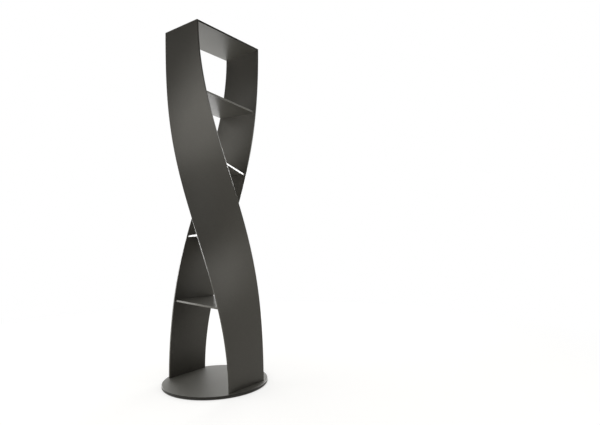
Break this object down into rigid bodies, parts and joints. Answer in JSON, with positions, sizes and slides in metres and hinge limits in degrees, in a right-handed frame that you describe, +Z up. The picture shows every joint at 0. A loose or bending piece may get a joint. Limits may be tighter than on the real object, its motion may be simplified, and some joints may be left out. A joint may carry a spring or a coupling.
{
  "type": "bookcase",
  "caption": "Tall free-standing bookcase whose side panels and open shelves wind a quarter turn between a round base and the top.",
  "frame": {"origin": "on the floor, under the middle of the base", "axes": "+Z up; the top compartment opens along Y, its front towards -Y, and the side panels are at -X (left) and +X (right) at the top"},
  "size_m": [0.5641, 0.5642, 1.9],
  "materials": {
    "panel_lacquer": "satin",
    "base_lacquer": "satin",
    "pin_steel": "satin",
    "screw_steel": "satin",
    "glide_rubber": "matte"
  },
  "bodies": {
    "root": {"base_plate": "base_lacquer", "left_side_panel": "panel_lacquer", "right_side_panel": "panel_lacquer", "top_panel": "panel_lacquer", "top_panel_pins": "pin_steel", "shelf_1": "panel_lacquer", "shelf_1_pins": "pin_steel", "shelf_2": "panel_lacquer", "shelf_2_pins": "pin_steel", "shelf_3": "panel_lacquer", "shelf_3_pins": "pin_steel", "shelf_4": "panel_lacquer", "shelf_4_pins": "pin_steel", "left_base_screws": "screw_steel", "right_base_screws": "screw_steel", "glide_1": "glide_rubber", "glide_2": "glide_rubber", "glide_3": "glide_rubber", "glide_4": "glide_rubber", "glide_5": "glide_rubber", "glide_6": "glide_rubber"}
  },
  "joints": []
}
